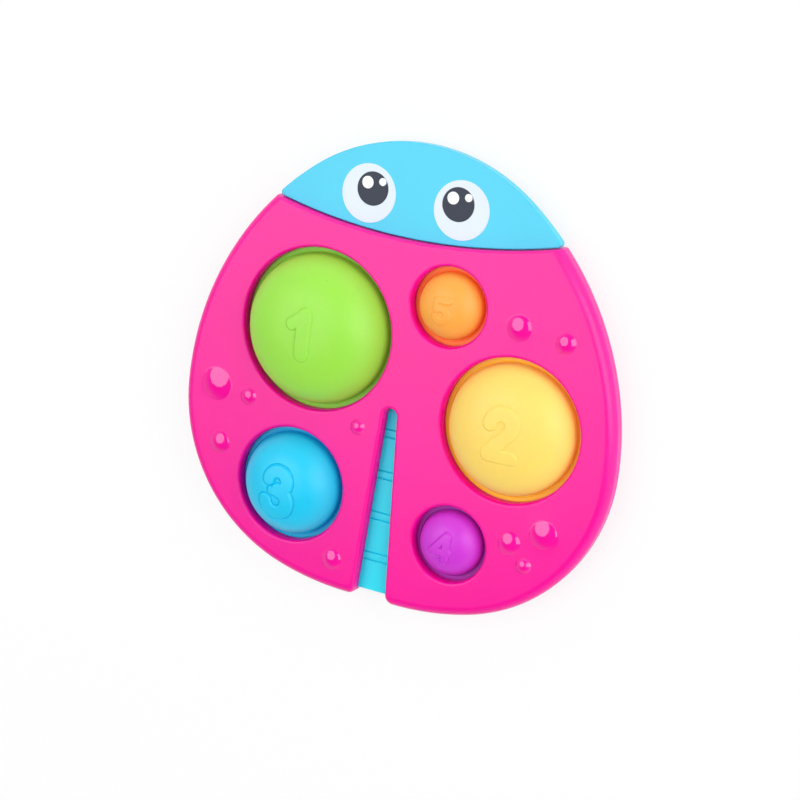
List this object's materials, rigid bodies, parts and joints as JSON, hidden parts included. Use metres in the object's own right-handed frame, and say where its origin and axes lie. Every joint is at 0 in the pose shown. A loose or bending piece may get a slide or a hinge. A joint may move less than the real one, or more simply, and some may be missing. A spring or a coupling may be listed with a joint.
{
  "type": "bubble pop fidget toy",
  "caption": "Flat beetle-shaped fidget toy: pink two-part body with blue head and tail strip, holding numbered silicone bubbles that pop through from front to back.",
  "frame": {"origin": "middle of the back face, at the centre of the outline", "axes": "+Z out of the front face, +Y towards the head, +X to the right seen from the front; the toy lies on its back"},
  "size_m": [0.1578, 0.1562, 0.0235],
  "materials": {
    "pink_body": "satin moulded ABS",
    "blue_trim": "satin moulded ABS",
    "screw_steel": "zinc plated",
    "eye_white": "pad print",
    "eye_dark": "pad print",
    "silicone_green": "matte silicone",
    "silicone_yellow": "matte silicone",
    "silicone_blue": "matte silicone",
    "silicone_purple": "matte silicone",
    "silicone_orange": "matte silicone"
  },
  "bodies": {
    "frame": {"front_shell": "pink_body", "back_shell": "pink_body", "head_front": "blue_trim", "head_back": "blue_trim", "tail_strip": "blue_trim", "screws": "screw_steel", "eye_whites": "eye_white", "eye_pupils": "eye_dark", "eye_glints": "eye_white", "bubble_1_rim": "silicone_green", "bubble_1_web": "silicone_green", "bubble_2_rim": "silicone_yellow", "bubble_2_web": "silicone_yellow", "bubble_3_rim": "silicone_blue", "bubble_3_web": "silicone_blue", "bubble_4_rim": "silicone_purple", "bubble_4_web": "silicone_purple", "bubble_5_rim": "silicone_orange", "bubble_5_web": "silicone_orange"},
    "crown_1": {"bubble_1_crown": "silicone_green"},
    "crown_2": {"bubble_2_crown": "silicone_yellow"},
    "crown_3": {"bubble_3_crown": "silicone_blue"},
    "crown_4": {"bubble_4_crown": "silicone_purple"},
    "crown_5": {"bubble_5_crown": "silicone_orange"}
  },
  "joints": [
    {"name": "bubble_1_pop", "type": "slide", "parent": "frame", "child": "crown_1", "axis": [0, 0, 1], "range_m": [-0.032, 0], "deforming": ["bubble_1_web"]},
    {"name": "bubble_2_pop", "type": "slide", "parent": "frame", "child": "crown_2", "axis": [0, 0, 1], "range_m": [-0.0228, 0], "deforming": ["bubble_2_web"]},
    {"name": "bubble_3_pop", "type": "slide", "parent": "frame", "child": "crown_3", "axis": [0, 0, 1], "range_m": [-0.0244, 0], "deforming": ["bubble_3_web"]},
    {"name": "bubble_4_pop", "type": "slide", "parent": "frame", "child": "crown_4", "axis": [0, 0, 1], "range_m": [-0.0156, 0], "deforming": ["bubble_4_web"]},
    {"name": "bubble_5_pop", "type": "slide", "parent": "frame", "child": "crown_5", "axis": [0, 0, 1], "range_m": [-0.0156, 0], "deforming": ["bubble_5_web"]}
  ]
}
